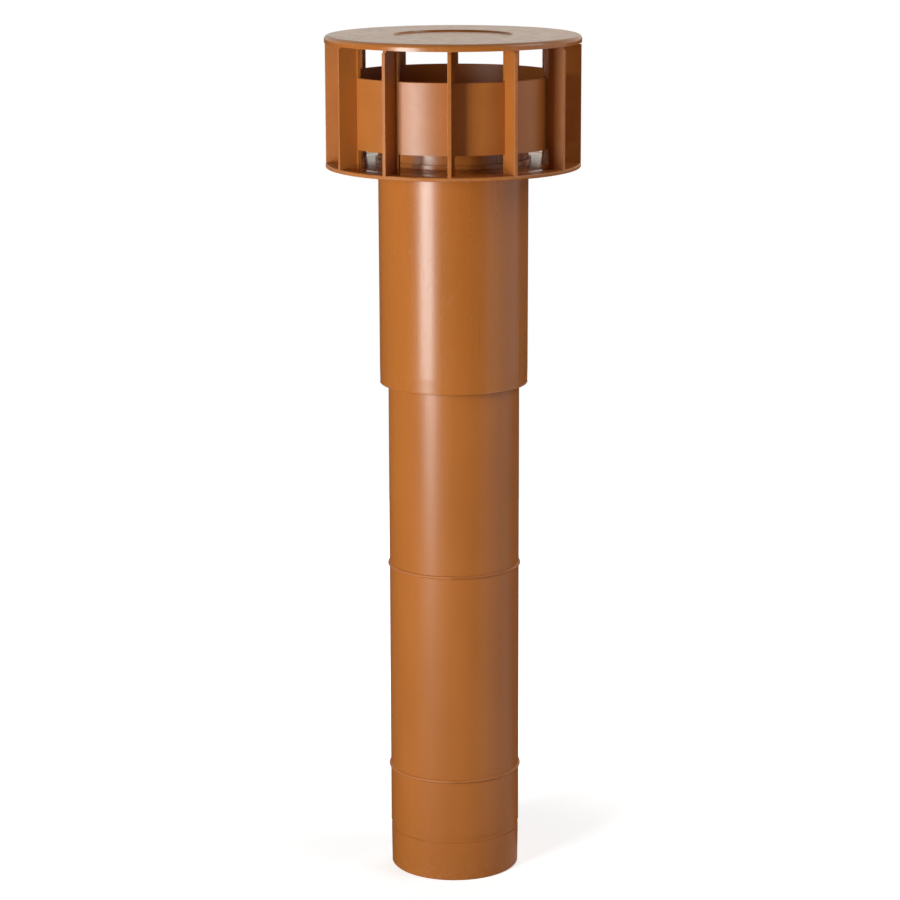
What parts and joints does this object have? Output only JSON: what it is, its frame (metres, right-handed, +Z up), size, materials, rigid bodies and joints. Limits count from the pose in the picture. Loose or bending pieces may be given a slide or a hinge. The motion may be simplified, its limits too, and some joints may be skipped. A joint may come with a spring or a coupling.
{
  "type": "roof vent pipe",
  "caption": "Plastic roof vent pipe with a louvred cap, an inner wind band and a rain sleeve over a ribbed duct pipe, for air out through a pitched roof.",
  "frame": {"origin": "on the pipe's axis at its lower end, where it stands", "axes": "+Z up the pipe towards the cap, -Y towards the viewer of the picture, through one of the fins"},
  "size_m": [0.252, 0.252, 0.85],
  "materials": {
    "pipe_plastic": "satin terracotta plastic",
    "sleeve_plastic": "glossy terracotta plastic",
    "cap_plastic": "glossy terracotta plastic"
  },
  "bodies": {
    "root": {"vent_pipe": "pipe_plastic", "upper_sleeve": "sleeve_plastic", "louvre_base": "cap_plastic", "wind_band": "cap_plastic", "cap_lid": "cap_plastic"}
  },
  "joints": []
}
